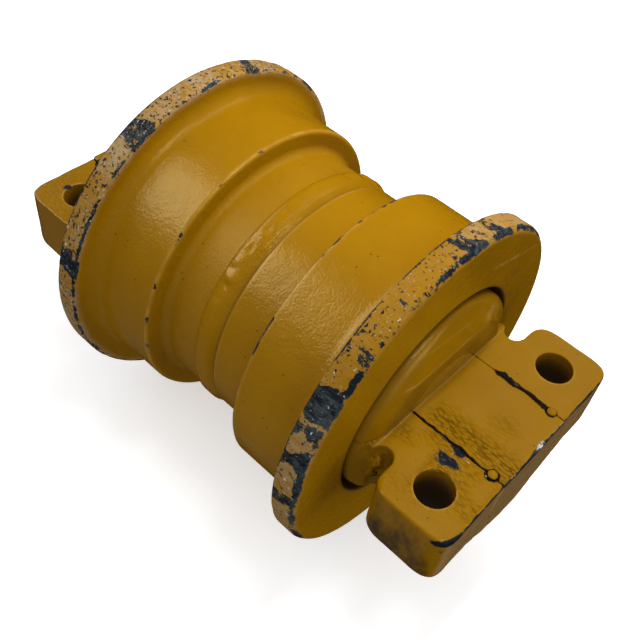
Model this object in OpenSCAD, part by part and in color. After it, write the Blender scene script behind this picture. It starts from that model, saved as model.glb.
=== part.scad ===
// Single-flange track roller for a crawler undercarriage.
//
// Frame: the origin is the middle of the roller's axis. Y runs along that axis,
// Z is the outward normal of the faces that bolt up against the track frame.
// The part is the same at both ends: "left" is the +Y end, "right" the -Y end.
// Every sub-part of an end is drawn for the +Y end and mirrored to the other.

/* [Roller shell] */
// Diameter over the two guide flanges
flange_d = 240; // [234:1:250]
// Width of a guide flange
flange_w = 18; // [15:1:20]
// Diameter of the two treads that run on the link rails
tread_d = 205; // [200:1:212]
// Diameter of the waist between the treads
neck_d = 175; // [170:1:185]
// Length of the rotating shell over its end faces
shell_len = 214; // [210:1:218]
// Distance from the middle to the inner shoulder of a tread
shoulder_y = 38.5; // [34:0.5:44]
// Diameter of the recess in each end face
recess_d = 156; // [154:1:160]
// Depth of that recess
recess_depth = 14; // [12:1:15]

/* [Shaft and bearings] */
// Length of the shaft, which is also the length of the part
overall_len = 368; // [362:1:376]
// Diameter of the shaft
shaft_d = 72; // [70:1:73]
// Height of the milled flats at the shaft's ends above the axis
flat_h = 19.4; // [18.8:0.2:21]
// Wall of a bushing
bushing_t = 7; // [6:0.5:8]
// Radial running clearance between a bushing and the shaft
run_gap = 0.05; // [0.03:0.01:0.1]
// Clearance between a bushing's thrust flange and the collar beside it
end_float = 0.3; // [0.2:0.1:0.6]

/* [Collars] */
// Height of the ears' bolting faces above the axis
face_h = 18.4; // [17:0.2:18.6]
// Distance from the middle to a collar's upright wall
wall_y = 116; // [114:1:118]
// Length of an ear along the shaft
ear_len = 54.5; // [50:0.5:56]
// Distance between the outer sides of a collar's two ears
ears_w = 177.4; // [172:0.2:184]
// Thickness of an ear
ear_t = 47.4; // [42:0.2:50]
// Diameter of the round boss under the shaft
boss_d = 104; // [98:1:108]
// Diameter of the disc that closes the shell's recess
disc_d = 148; // [146:1:150]

/* [Bolts and pins] */
// Distance between bolt holes across the shaft
bolt_span_x = 123; // [120:1:126]
// Distance between bolt holes along the shaft
bolt_span_y = 314; // [310:1:316]
// Diameter of a bolt hole
bolt_d = 24; // [22:0.5:25]
// Diameter of a dowel pin
pin_d = 8; // [6:0.5:9]
// Distance from a dowel pin to the end of the shaft
pin_inset = 9.6; // [8:0.2:14]

/* [Hidden] */
$fn = 128;
eps = 0.5;

paint = "goldenrod";
raw_steel = "lightsteelblue";
rubber_black = "dimgray";

// Stations along the axis, from the outside of the shell inwards
end_y = overall_len / 2;
outer_y = shell_len / 2;
flange_in_y = outer_y - flange_w;
recess_floor_y = outer_y - recess_depth;
disc_gap = 2;
disc_in_y = recess_floor_y + disc_gap;
seal_y = recess_floor_y + disc_gap / 2;
housing_depth = 11.5;
housing_floor_y = recess_floor_y - housing_depth;
static_floor_y = disc_in_y + housing_depth;
thrust_t = 5;
seat_y = housing_floor_y - thrust_t;

// Radii of the shell and of the edges of its profile
flange_r = flange_d / 2;
tread_r = tread_d / 2;
neck_r = neck_d / 2;
recess_r = recess_d / 2;
rim_outer_round = 5;
rim_inner_round = 3;
flange_fillet = 10;
tread_round = 3.5;
shoulder_fillet = 5;
recess_fillet = 3;
recess_chamfer = 1;

// Oil chamber between the bushings, and the welded joint over it
chamber_r = 52;
chamber_half = 22;
groove_root_r = 76;
groove_root_gap = 1;
weld_half = 9;
weld_crown = 2.5;
crown_r = (weld_half * weld_half + weld_crown * weld_crown) / (2 * weld_crown);

// Shaft, bushings and the oil passages
shaft_r = shaft_d / 2;
shaft_chamfer = 1;
bushing_r = shaft_r + bushing_t;
thrust_r = bushing_r + 7;
bushing_chamfer = 1;
oil_groove_r = 3;
oil_groove_stop = 8;
thrust_groove_w = 4;
thrust_groove_depth = 1.2;
gallery_r = 4;
gallery_past = 8;
cross_hole_r = 3;
centre_hole_r = 6;
centre_hole_depth = 8;

// Face seals: each end has two metal rings, each on its own rubber toric
seal_film = 0.1;
toric_r = 4.4;
toric_pitch_r = shaft_r + 14.5;
toric_setback = 7.7;
toric_nip = 4.5;
ramp = tan(10);
ring_bore_r = shaft_r + 5.5;
ring_len = 11;
ring_flange_t = 3;
ring_flange_r = toric_pitch_r + 3.3;
ring_band_r = ring_flange_r - 5.8;
ring_relief = 0.7;
hub_r = shaft_r + 4.3;

// Collar
disc_r = disc_d / 2;
disc_round = 8;
disc_cone_w = 6;
disc_cone_h = 3;
ridge_z = 48;
ridge_slope = 12.9;
ear_x = ears_w / 2;
ear_in_y = end_y - ear_len;
ear_low_z = face_h - ear_t;
ear_outer_round = 12;
ear_inner_round = 9;
ear_low_round = 8;
boss_r = boss_d / 2;
boss_fillet = 12;
notch_r = (ear_in_y - wall_y - eps) / 2;
notch_x = 67;
notch_y = wall_y + eps + notch_r;
oring_r = 1.65;
oring_seat_r = shaft_r + 0.05 + oring_r;
oring_y = 110;
oring_groove_w = 4.8;
oring_groove_r = shaft_r + 3.4;

// Bolts and pins
bolt_x = bolt_span_x / 2;
bolt_y = bolt_span_y / 2;
bolt_r = bolt_d / 2;
spot_r = 19.5;
spot_depth = 1;
pin_r = pin_d / 2;
pin_x = sqrt(shaft_r * shaft_r - face_h * face_h);
pin_y = end_y - pin_inset;
pin_hole_z = -4;
pin_gap = 0.4;
pin_dome = 1.2;
dome_r = (pin_r * pin_r + pin_dome * pin_dome) / (2 * pin_dome);

// Oil plug in the +Y end of the shaft
port_r = 14;
port_depth = 7.5;
plug_shank_r = 8;
plug_shank_len = 12;
plug_head_r = 11.5;
plug_head_t = 5;
plug_hex_d = 9.2;
plug_hex_depth = 4;
washer_t = 1.5;
washer_r = 12.5;

// --- Construction helpers ---------------------------------------------------

// Turns a (radius, y) profile about the roller's axis
module turned() {
    rotate([-90, 0, 0])
        rotate_extrude()
            children();
}

// A cylinder along the roller's axis from y0 to y1
module axial(r, y0, y1) {
    translate([0, y0, 0])
        rotate([-90, 0, 0])
            cylinder(r = r, h = y1 - y0);
}

// What a round edge of radius r removes, or a fillet adds, at corner p
module spandrel(p, r, sx, sy) {
    a = p - eps * [sx, sy];
    b = p + r * [sx, sy];
    difference() {
        translate([min(a[0], b[0]), min(a[1], b[1])])
            square([abs(b[0] - a[0]), abs(b[1] - a[1])]);
        translate(b)
            circle(r);
    }
}

// Draws a sub-part of the +Y end, or its mirror image at the -Y end
module at_end(side) {
    if (side > 0)
        children();
    else
        mirror([0, 1, 0])
            children();
}

// Repeats a feature on both sides of the shaft
module both_x() {
    children();
    mirror([1, 0, 0])
        children();
}

// Radius of a seal housing's tapered wall at a distance from the contact plane
function housing_r(d) = toric_pitch_r + toric_nip + (toric_setback - d) * ramp;

// Radius of a metal ring's tapered seat at that distance
function ring_r(d) = toric_pitch_r - toric_nip + (toric_setback - d) * ramp;

// --- Roller shell -----------------------------------------------------------

// Everything that is hollow inside a shell half
module shell_bore_profile() {
    polygon([
        [0, -eps],
        [chamber_r, -eps],
        [chamber_r, chamber_half],
        [bushing_r, chamber_half],
        [bushing_r, seat_y],
        [thrust_r, seat_y],
        [thrust_r, housing_floor_y],
        [housing_r(seal_y - housing_floor_y), housing_floor_y],
        [housing_r(seal_y - recess_floor_y), recess_floor_y],
        [recess_r - recess_fillet, recess_floor_y],
        [recess_r, recess_floor_y + recess_fillet],
        [recess_r, outer_y - recess_chamfer],
        [recess_r + recess_chamfer + eps, outer_y + eps],
        [0, outer_y + eps]
    ]);
}

// Bevel at the joint between the two halves
module weld_bevel_profile() {
    polygon([
        [groove_root_r, -eps],
        [groove_root_r, groove_root_gap],
        [neck_r, weld_half],
        [neck_r + weld_half, 2 * weld_half],
        [neck_r + weld_half, -eps]
    ]);
}

module shell_half() {
    turned()
        difference() {
            union() {
                square([neck_r, outer_y - eps]);
                translate([0, shoulder_y])
                    square([tread_r, outer_y - shoulder_y - eps]);
                translate([0, flange_in_y])
                    square([flange_r, flange_w]);
                spandrel([tread_r, flange_in_y], flange_fillet, 1, -1);
                spandrel([neck_r, shoulder_y], shoulder_fillet, 1, -1);
            }
            shell_bore_profile();
            weld_bevel_profile();
            spandrel([flange_r, outer_y], rim_outer_round, -1, -1);
            spandrel([flange_r, flange_in_y], rim_inner_round, -1, 1);
            spandrel([tread_r, shoulder_y], tread_round, -1, 1);
        }
}

module right_shell_half() {
    color(paint)
        at_end(-1)
            shell_half();
}

module left_shell_half() {
    color(paint)
        at_end(1)
            shell_half();
}

// Bead that fills the bevel between the halves, with a low crown
module centre_weld() {
    tip_r = neck_r + weld_crown + eps;
    widening = (weld_half - groove_root_gap) / (neck_r - groove_root_r);
    tip_half = weld_half + (tip_r - neck_r) * widening;
    color(paint)
        turned()
            intersection() {
                polygon([
                    [groove_root_r, -groove_root_gap],
                    [groove_root_r, groove_root_gap],
                    [tip_r, tip_half],
                    [tip_r, -tip_half]
                ]);
                translate([neck_r + weld_crown - crown_r, 0])
                    circle(crown_r);
            }
}

// --- Shaft and bushings -----------------------------------------------------

module shaft_flat_cut() {
    translate([-shaft_r - eps, wall_y, flat_h])
        cube([2 * shaft_r + 2 * eps, end_y, shaft_r]);
}

module pin_holes() {
    both_x()
        translate([pin_x, pin_y, pin_hole_z])
            cylinder(r = pin_r, h = 2 * shaft_r);
}

module shaft_blank() {
    turned()
        polygon([
            [0, -end_y],
            [shaft_r - shaft_chamfer, -end_y],
            [shaft_r, -end_y + shaft_chamfer],
            [shaft_r, end_y - shaft_chamfer],
            [shaft_r - shaft_chamfer, end_y],
            [0, end_y]
        ]);
}

// Filling hole in the +Y end, the gallery behind it and the hole to the chamber
module oil_passages() {
    axial(port_r, end_y - port_depth, end_y + eps);
    axial(plug_shank_r, end_y - port_depth - plug_shank_len - 2, end_y);
    axial(gallery_r, -gallery_past, end_y - port_depth);
    translate([0, 0, -shaft_r - eps])
        cylinder(r = cross_hole_r, h = shaft_r + eps);
}

// Lathe centre in the -Y end
module centre_hole() {
    turned()
        polygon([
            [0, -end_y - eps],
            [centre_hole_r, -end_y - eps],
            [centre_hole_r, -end_y],
            [0, -end_y + centre_hole_depth]
        ]);
}

module shaft() {
    color(raw_steel)
        difference() {
            shaft_blank();
            for (side = [-1, 1])
                at_end(side) {
                    shaft_flat_cut();
                    pin_holes();
                }
            oil_passages();
            centre_hole();
        }
}

// Flanged sleeve pressed into a shell half, with oil grooves in bore and flange
module bushing() {
    bore_r = shaft_r + run_gap;
    difference() {
        turned()
            polygon([
                [bore_r + bushing_chamfer, chamber_half],
                [bushing_r, chamber_half],
                [bushing_r, seat_y],
                [thrust_r, seat_y],
                [thrust_r, housing_floor_y],
                [bore_r + bushing_chamfer, housing_floor_y],
                [bore_r, housing_floor_y - bushing_chamfer],
                [bore_r, chamber_half + bushing_chamfer]
            ]);
        both_x()
            translate([bore_r, 0, 0])
                axial(oil_groove_r, chamber_half - eps, seat_y - oil_groove_stop);
        for (turn = [45 : 90 : 315])
            rotate([0, turn, 0])
                translate([0, housing_floor_y - thrust_groove_depth, -thrust_groove_w / 2])
                    cube([thrust_r + eps, thrust_groove_depth + eps, thrust_groove_w]);
    }
}

module right_bushing() {
    color("peru")
        at_end(-1)
            bushing();
}

module left_bushing() {
    color("peru")
        at_end(1)
            bushing();
}

// --- Collars ----------------------------------------------------------------

// Disc, its rounded rim and the hub that reaches in to the bushing
module collar_disc() {
    turned()
        difference() {
            union() {
                translate([shaft_r, housing_floor_y + end_float])
                    square([hub_r - shaft_r, wall_y - housing_floor_y - end_float]);
                translate([shaft_r, disc_in_y])
                    square([disc_r - shaft_r, wall_y - disc_cone_h - disc_in_y]);
                translate([0, wall_y - disc_cone_h])
                    polygon([
                        [shaft_r, -eps],
                        [disc_r - disc_round + eps * disc_cone_w / disc_cone_h, -eps],
                        [disc_r - disc_round - disc_cone_w, disc_cone_h],
                        [shaft_r, disc_cone_h]
                    ]);
            }
            spandrel([disc_r, wall_y - disc_cone_h], disc_round, -1, -1);
        }
}

// Ring-shaped space for the static half of the face seal
module static_housing() {
    turned()
        polygon([
            [hub_r, disc_in_y - eps],
            [hub_r, static_floor_y],
            [housing_r(static_floor_y - seal_y), static_floor_y],
            [housing_r(disc_in_y - seal_y), disc_in_y],
            [housing_r(disc_in_y - seal_y), disc_in_y - eps]
        ]);
}

// Outline of the bolting block seen from above
module block_plan() {
    difference() {
        union() {
            translate([-notch_x, wall_y - disc_cone_h - eps])
                square([2 * notch_x, end_y - wall_y + disc_cone_h + eps]);
            translate([-ear_x, ear_in_y])
                square([ears_w, ear_len]);
        }
        for (s = [-1, 1]) {
            spandrel([s * ear_x, end_y], ear_outer_round, -s, -1);
            spandrel([s * ear_x, ear_in_y], ear_inner_round, -s, 1);
            translate([s * notch_x, notch_y])
                circle(notch_r);
            translate([s > 0 ? notch_x : -ear_x - eps, wall_y + eps])
                square([ear_x - notch_x + eps, 2 * notch_r]);
        }
    }
}

// Outline of the block seen along the shaft: two ears and the boss between them
module block_front() {
    fillet_z = ear_low_z - boss_fillet;
    fillet_x = sqrt(pow(boss_r + boss_fillet, 2) - fillet_z * fillet_z);
    foot = [fillet_x, fillet_z] * boss_r / (boss_r + boss_fillet);
    difference() {
        union() {
            translate([-ear_x, ear_low_z])
                square([ears_w, ear_t]);
            intersection() {
                circle(boss_r);
                translate([-boss_r, -boss_r])
                    square([2 * boss_r, boss_r + face_h]);
            }
            for (s = [-1, 1])
                difference() {
                    polygon([
                        [s * foot[0], foot[1]],
                        [s * fillet_x, ear_low_z],
                        [s * fillet_x, ear_low_z + eps],
                        [s * (foot[0] - 2 * eps), ear_low_z + eps]
                    ]);
                    translate([s * fillet_x, fillet_z])
                        circle(boss_fillet);
                }
        }
        for (s = [-1, 1])
            spandrel([s * ear_x, ear_low_z], ear_low_round, -s, 1);
    }
}

module collar_block() {
    intersection() {
        translate([0, 0, -boss_r])
            linear_extrude(boss_r + face_h)
                block_plan();
        translate([0, end_y, 0])
            rotate([90, 0, 0])
                linear_extrude(end_y - wall_y + disc_cone_h + eps)
                    block_front();
    }
}

// Slope that the disc's face has above the ridge over the bolting face
module ridge_cut() {
    translate([0, wall_y, ridge_z])
        rotate([ridge_slope, 0, 0])
            translate([-disc_r, 0, 0])
                cube([disc_d, disc_r, disc_r]);
}

// A through hole for the frame bolt, with a flat under it for the bolt's head
module bolt_hole() {
    translate([bolt_x, bolt_y, -boss_r])
        cylinder(r = bolt_r, h = 2 * boss_r);
    translate([bolt_x, bolt_y, -2 * boss_r])
        cylinder(r = spot_r, h = 2 * boss_r + ear_low_z + spot_depth);
}

module collar() {
    difference() {
        union() {
            collar_disc();
            collar_block();
        }
        axial(shaft_r, 0, end_y + eps);
        static_housing();
        ridge_cut();
        both_x()
            bolt_hole();
        pin_holes();
        axial(oring_groove_r, oring_y - oring_groove_w / 2, oring_y + oring_groove_w / 2);
    }
}

module right_collar() {
    color(paint)
        at_end(-1)
            collar();
}

module left_collar() {
    color(paint)
        at_end(1)
            collar();
}

// --- Face seals -------------------------------------------------------------

// A metal seal ring whose lapped band lies at the contact plane, body towards -Y
module seal_ring() {
    lap_y = seal_y - seal_film / 2;
    back_y = lap_y - ring_len;
    shoulder = lap_y - ring_flange_t;
    turned()
        polygon([
            [ring_bore_r, back_y],
            [ring_r(seal_y - back_y), back_y],
            [ring_r(seal_y - shoulder), shoulder],
            [ring_flange_r, shoulder],
            [ring_flange_r, lap_y],
            [ring_band_r, lap_y],
            [ring_bore_r, lap_y - ring_relief]
        ]);
}

// The rubber toric that presses that ring against the other one
module toric() {
    turned()
        translate([toric_pitch_r, seal_y - toric_setback])
            circle(toric_r);
}

// Turns a rotating sub-part round to the static side of the contact plane
module static_side() {
    translate([0, 2 * seal_y, 0])
        mirror([0, 1, 0])
            children();
}

module right_rotating_seal_ring() {
    color(raw_steel)
        at_end(-1)
            seal_ring();
}

module left_rotating_seal_ring() {
    color(raw_steel)
        at_end(1)
            seal_ring();
}

module right_static_seal_ring() {
    color(raw_steel)
        at_end(-1)
            static_side()
                seal_ring();
}

module left_static_seal_ring() {
    color(raw_steel)
        at_end(1)
            static_side()
                seal_ring();
}

module right_rotating_toric() {
    color(rubber_black)
        at_end(-1)
            toric();
}

module left_rotating_toric() {
    color(rubber_black)
        at_end(1)
            toric();
}

module right_static_toric() {
    color(rubber_black)
        at_end(-1)
            static_side()
                toric();
}

module left_static_toric() {
    color(rubber_black)
        at_end(1)
            static_side()
                toric();
}

// O-ring that seals a collar on the shaft
module shaft_oring() {
    turned()
        translate([oring_seat_r, oring_y])
            circle(oring_r);
}

module right_shaft_oring() {
    color(rubber_black)
        at_end(-1)
            shaft_oring();
}

module left_shaft_oring() {
    color(rubber_black)
        at_end(1)
            shaft_oring();
}

// --- Pins and plug ----------------------------------------------------------

// Two dowels on the joint lines of shaft and collar, each with a low domed top
module dowel_pins() {
    both_x()
        translate([pin_x, pin_y, pin_hole_z + pin_gap]) {
            pin_len = flat_h - pin_hole_z - pin_gap;
            cylinder(r = pin_r, h = pin_len);
            intersection() {
                cylinder(r = pin_r, h = pin_len + pin_dome + eps);
                translate([0, 0, pin_len + pin_dome - dome_r])
                    sphere(dome_r);
            }
        }
}

module right_dowel_pins() {
    color(raw_steel)
        at_end(-1)
            dowel_pins();
}

module left_dowel_pins() {
    color(raw_steel)
        at_end(1)
            dowel_pins();
}

module oil_plug() {
    head_y = end_y - port_depth + washer_t;
    color("darkgray")
        difference() {
            union() {
                axial(plug_head_r, head_y, head_y + plug_head_t);
                axial(plug_shank_r, head_y - washer_t - plug_shank_len, head_y + eps);
            }
            translate([0, head_y + plug_head_t - plug_hex_depth, 0])
                rotate([-90, 0, 0])
                    cylinder(d = plug_hex_d, h = plug_hex_depth + eps, $fn = 6);
        }
}

module plug_washer() {
    color("chocolate")
        difference() {
            axial(washer_r, end_y - port_depth, end_y - port_depth + washer_t);
            axial(plug_shank_r, end_y - 2 * port_depth, end_y);
        }
}

right_shell_half();
left_shell_half();
centre_weld();
shaft();
right_bushing();
left_bushing();
right_collar();
left_collar();
right_rotating_seal_ring();
left_rotating_seal_ring();
right_static_seal_ring();
left_static_seal_ring();
right_rotating_toric();
left_rotating_toric();
right_static_toric();
left_static_toric();
right_shaft_oring();
left_shaft_oring();
right_dowel_pins();
left_dowel_pins();
oil_plug();
plug_washer();
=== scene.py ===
"""Visual model of a single-flange track roller with bolt-on end collars.

Lengths inside the builders are millimetres; blend_mesh() turns them into metres. The
frame is the CAD model's: Y along the shaft, Z the normal of the bolting faces, and the
origin in the middle of the axis. A piece of one end is drawn at the +Y end, with its own
casting marks and wear, and mirrored for the -Y end, which is the near one in the picture.
Attributes say how worn or dirty a mesh is at each point, and where shade, highlights and sheen are painted
into its colour; the materials add finer noise.
"""
import math

import bpy
import numpy as np
from mathutils import Matrix


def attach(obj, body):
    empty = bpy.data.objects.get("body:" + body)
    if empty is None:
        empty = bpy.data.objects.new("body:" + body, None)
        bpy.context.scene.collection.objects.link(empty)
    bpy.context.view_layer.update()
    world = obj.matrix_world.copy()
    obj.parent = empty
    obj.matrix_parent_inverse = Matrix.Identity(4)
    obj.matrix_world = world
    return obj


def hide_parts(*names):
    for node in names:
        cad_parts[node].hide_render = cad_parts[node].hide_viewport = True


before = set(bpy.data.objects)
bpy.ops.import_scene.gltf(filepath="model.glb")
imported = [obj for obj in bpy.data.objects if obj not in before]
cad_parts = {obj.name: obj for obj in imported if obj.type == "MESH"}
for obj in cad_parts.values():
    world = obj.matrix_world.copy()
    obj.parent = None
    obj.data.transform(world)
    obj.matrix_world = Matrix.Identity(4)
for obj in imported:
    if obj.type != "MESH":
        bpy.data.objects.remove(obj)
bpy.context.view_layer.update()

MM = 0.001

# --- Dimensions of the visible shape, in millimetres ---
END_Y = 184.0
OUTER_Y, FLANGE_IN_Y, RECESS_FLOOR_Y = 107.0, 89.0, 93.0
FLANGE_R, TREAD_R, NECK_R, RECESS_R = 120.0, 102.5, 87.5, 78.0
SHOULDER_Y = 38.5
CHAMBER_R, CHAMBER_HALF = 52.0, 22.0
BUSHING_R, THRUST_R, SEAT_Y, HOUSING_FLOOR_Y = 43.0, 50.0, 76.5, 81.5
GROOVE_ROOT_R, WELD_HALF, BARE_BEVEL_Y = 76.0, 9.0, 6.6
SHAFT_R, FLAT_H, FACE_H = 36.0, 19.4, 18.4
WALL_Y, RIDGE_Z, RIDGE_SLOPE = 116.0, 48.0, math.radians(12.9)
DISC_R, DISC_IN_Y, DISC_EDGE_Y, DISC_ROUND = 74.0, 95.0, 113.0, 8.0
CONE_R, CONE_NORMAL, DISC_TOP_R = 66.0, (0.447, 0.894), 67.0
PAD_X, PAD_LEAN, PAD_Z, PAD_NORMAL = 18.0, 0.5, 61.5, (0.93, 0.367)
SEAL_R, SEAL_DEPTH, SEAL_Y, SEAL_TAPER = 55.0, 7.7, 94.0, math.tan(math.radians(10))
HUB_R, HUB_IN_Y, CAVITY_Y = 40.3, 81.8, 106.5
EAR_X, EAR_IN_Y, EAR_LOW_Z = 88.7, 129.5, -29.0
EAR_ROUND, EAR_IN_ROUND, EAR_LOW_ROUND, BOSS_FILLET, BLOCK_ROUND = 14.0, 15.0, 8.0, 12.0, 6.5
BOSS_R, NOTCH_X, NOTCH_Y, NOTCH_R = 52.0, 67.0, 123.0, 6.5
BOLT_X, BOLT_Y, BOLT_R = 61.5, 157.0, 12.0
SPOT_R, SPOT_Z = 19.5, -28.0
PIN_X, PIN_Y, PIN_R, PIN_FOOT_Z = 30.94, 174.4, 4.0, -4.0
PIN_HEAD_R, PIN_NECK_Z = 3.2, 13.0
ORING_Y, ORING_GROOVE_R, ORING_GROOVE_W = 110.0, 39.4, 4.8
PORT_R, PORT_DEPTH, PORT_SHANK_R, PORT_SHANK_DEPTH = 14.0, 7.5, 8.0, 14.0
CENTRE_DRILL_R, CENTRE_DRILL_DEPTH = 6.0, 8.0
ENDS = {-1: "right", 1: "left"}
SHELL_SEGMENTS, WELD_SEGMENTS, PIN_SEGMENTS = 520, 960, 48
SHARP_ANGLE = math.radians(38)
CONTOUR_BAND, PULL_TO_MIDDLE = 4.0, 0.06


# --- Noise and smooth blends ---
def lattice(cell, seed):
    """A fixed pseudo-random value from -1 to 1 for each whole-numbered lattice point."""
    h = (cell[:, 0] * 73856093) ^ (cell[:, 1] * 19349663) ^ (cell[:, 2] * 83492791)
    h = (h ^ (seed * 40503)) & 0xFFFFFFFF
    h = ((h ^ (h >> 15)) * 2246822519) & 0xFFFFFFFF
    h = ((h ^ (h >> 13)) * 3266489917) & 0xFFFFFFFF
    h ^= h >> 16
    return (h & 0xFFFF) / 32767.5 - 1.0


def noise(p, size, seed=0):
    """Smooth value noise from -1 to 1 at points p, with lumps about `size` across."""
    q = p / np.asarray(size, float) + 17.3
    base = np.floor(q)
    f = q - base
    w = f * f * f * (f * (f * 6 - 15) + 10)
    base = base.astype(np.int64)
    total = np.zeros(len(p))
    for corner in range(8):
        bits = np.array([corner & 1, corner >> 1 & 1, corner >> 2 & 1])
        share = np.prod(np.where(bits, w, 1 - w), axis=1)
        total += share * lattice(base + bits, seed)
    return total


def step(low, high, v):
    """0 below low, 1 above high, smooth between."""
    t = np.clip((v - low) / (high - low), 0, 1)
    return t * t * (3 - 2 * t)


def hill(v, width):
    """1 where v is 0, falling away over about `width` on either side."""
    return np.exp(-((v / width) ** 2))


def around(p):
    """Radius from the axis, and the angle round it in degrees from +X towards +Z."""
    return np.hypot(p[:, 0], p[:, 2]), np.degrees(np.arctan2(p[:, 2], p[:, 0])) % 360


def spot(p, place, size):
    """1 at a place, falling away with distance; size is a length or one for each axis."""
    return np.exp(-np.sum(((p - np.array(place)) / np.asarray(size, float)) ** 2, axis=1))


def both(a, b, r):
    """Intersection of two distance fields with a round of radius r on the edge."""
    return np.minimum(-r, np.maximum(a, b)) + np.hypot(np.maximum(r + a, 0), np.maximum(r + b, 0))


def either(a, b, r):
    """Union of two distance fields with a fillet of radius r in the corner."""
    return np.maximum(r, np.minimum(a, b)) - np.hypot(np.maximum(r - a, 0), np.maximum(r - b, 0))


# --- Mesh builders ---
def blend_mesh(name, verts, faces, normals, attributes):
    """A Blender object from vertices in millimetres, with per-vertex attributes."""
    mesh = bpy.data.meshes.new(name)
    mesh.from_pydata((verts * MM).tolist(), [], faces.tolist())
    mesh.validate()
    mesh.polygons.foreach_set("use_smooth", [True] * len(mesh.polygons))
    if normals is None:
        mesh.set_sharp_from_angle(angle=SHARP_ANGLE)
    else:
        mesh.normals_split_custom_set_from_vertices(normals.tolist())
    for key, values in attributes.items():
        layer = mesh.attributes.new(key, "FLOAT", "POINT")
        layer.data.foreach_set("value", np.asarray(values, np.float32))
    obj = bpy.data.objects.new(name, mesh)
    bpy.context.scene.collection.objects.link(obj)
    return obj


def slope_of(field, p, h=0.05):
    """Unit gradient of a distance field at points p."""
    g = np.empty_like(p)
    for k in range(3):
        d = np.zeros(3)
        d[k] = h
        g[:, k] = field(p + d) - field(p - d)
    return g / np.maximum(np.linalg.norm(g, axis=1, keepdims=True), 1e-9)


def edge_crossings(value, axes):
    """Where a gridded field changes sign along its grid lines, and the four cells round each."""
    inside = value < 0
    cells = tuple(n - 1 for n in value.shape)
    points, rings = [], []
    for k in range(3):
        low, high = [slice(None)] * 3, [slice(None)] * 3
        low[k], high[k] = slice(0, -1), slice(1, None)
        i0 = np.argwhere(inside[tuple(low)] != inside[tuple(high)])
        i1 = i0.copy()
        i1[:, k] += 1
        v0, v1 = value[tuple(i0.T)], value[tuple(i1.T)]
        p0 = np.stack([axes[j][i0[:, j]] for j in range(3)], 1)
        p1 = np.stack([axes[j][i1[:, j]] for j in range(3)], 1)
        points.append(p0 + (p1 - p0) * (v0 / (v0 - v1))[:, None])
        ring = []
        for du, dv in ((-1, -1), (0, -1), (0, 0), (-1, 0)):
            cell = i0.copy()
            cell[:, (k + 1) % 3] += du
            cell[:, (k + 2) % 3] += dv
            ring.append(np.ravel_multi_index(tuple(cell.T), cells))
        ring = np.stack(ring, 1)
        flip = v0 > 0
        ring[flip] = ring[flip, ::-1]
        rings.append(ring)
    return np.concatenate(points), np.concatenate(rings)


def cell_points(points, normals, quads):
    """For each cell, the point nearest to the planes through the crossings round it."""
    owner, source = quads.T.ravel(), np.tile(np.arange(len(points)), 4)

    def gathered(weights):
        return np.bincount(owner, weights[source])

    middle = np.stack([gathered(points[:, k]) for k in range(3)], 1) / np.bincount(owner)[:, None]
    reach = np.sum(normals * points, 1)
    a = np.empty((len(middle), 3, 3))
    b = np.empty((len(middle), 3))
    for i in range(3):
        b[:, i] = gathered(normals[:, i] * reach)
        for j in range(3):
            a[:, i, j] = gathered(normals[:, i] * normals[:, j])
    a += PULL_TO_MIDDLE * np.eye(3)
    b += PULL_TO_MIDDLE * middle
    return np.linalg.solve(a, b[:, :, None])[:, :, 0]


def contour(plain, field, axes):
    """Dual contouring of a distance field on a rectilinear grid: (vertices, quads, normals).

    plain is a cheap version of field, used to find the cells near the surface.
    """
    grid = np.stack(np.meshgrid(*axes, indexing="ij"), -1).reshape(-1, 3)
    value = plain(grid)
    near = np.abs(value) < CONTOUR_BAND
    value[near] = field(grid[near])
    points, quads = edge_crossings(value.reshape([len(a) for a in axes]), axes)
    used, quads = np.unique(quads, return_inverse=True)
    quads = quads.reshape(-1, 4)
    verts = cell_points(points, slope_of(field, points), quads)
    low_corner = np.stack(np.unravel_index(used, [len(a) - 1 for a in axes]), 1)
    for k in range(3):
        verts[:, k] = np.clip(verts[:, k], axes[k][low_corner[:, k]], axes[k][low_corner[:, k] + 1])
    for _ in range(2):
        verts -= np.clip(field(verts), -0.3, 0.3)[:, None] * slope_of(field, verts) * 0.8
    return verts, quads, slope_of(field, verts, 0.15)


def stations(low, high, coarse, fine, zones):
    """Grid positions from low to high, coarse apart but fine apart inside the zones."""
    out = [low]
    while out[-1] < high:
        inside = any(a - coarse < out[-1] < b for a, b in zones)
        out.append(out[-1] + (fine if inside else coarse))
    return np.array(out)


def arc(centre, r, start, end, pieces):
    """Points of an arc in the (radius, y) plane, angles in degrees."""
    angles = np.radians(np.linspace(start, end, pieces + 1))
    return [(centre[0] + r * math.cos(t), centre[1] + r * math.sin(t)) for t in angles]


def filled(points, spacing):
    """A closed outline with extra points; spacing gives how far apart, by (radius, y)."""
    out = []
    for (r0, y0), (r1, y1) in zip(points, points[1:] + points[:1]):
        n = max(1, int(math.hypot(r1 - r0, y1 - y0) / spacing((r0 + r1) / 2, (y0 + y1) / 2)))
        out += [(r0 + (r1 - r0) * i / n, y0 + (y1 - y0) * i / n) for i in range(n)]
    return np.array(out)


def turned(outline, segments):
    """Vertices and quads of a closed (radius, y) outline turned about the Y axis."""
    turn = np.linspace(0, 2 * math.pi, segments, endpoint=False)
    r, y = outline[:, 0], outline[:, 1]
    verts = np.stack([np.outer(np.cos(turn), r), np.tile(y, (segments, 1)), np.outer(np.sin(turn), r)], -1)
    count = len(outline)
    i, j = np.meshgrid(np.arange(segments), np.arange(count), indexing="ij")
    i1, j1 = (i + 1) % segments, (j + 1) % count
    quads = np.stack([i * count + j, i * count + j1, i1 * count + j1, i1 * count + j], -1)
    return verts.reshape(-1, 3), quads.reshape(-1, 4)


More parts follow.
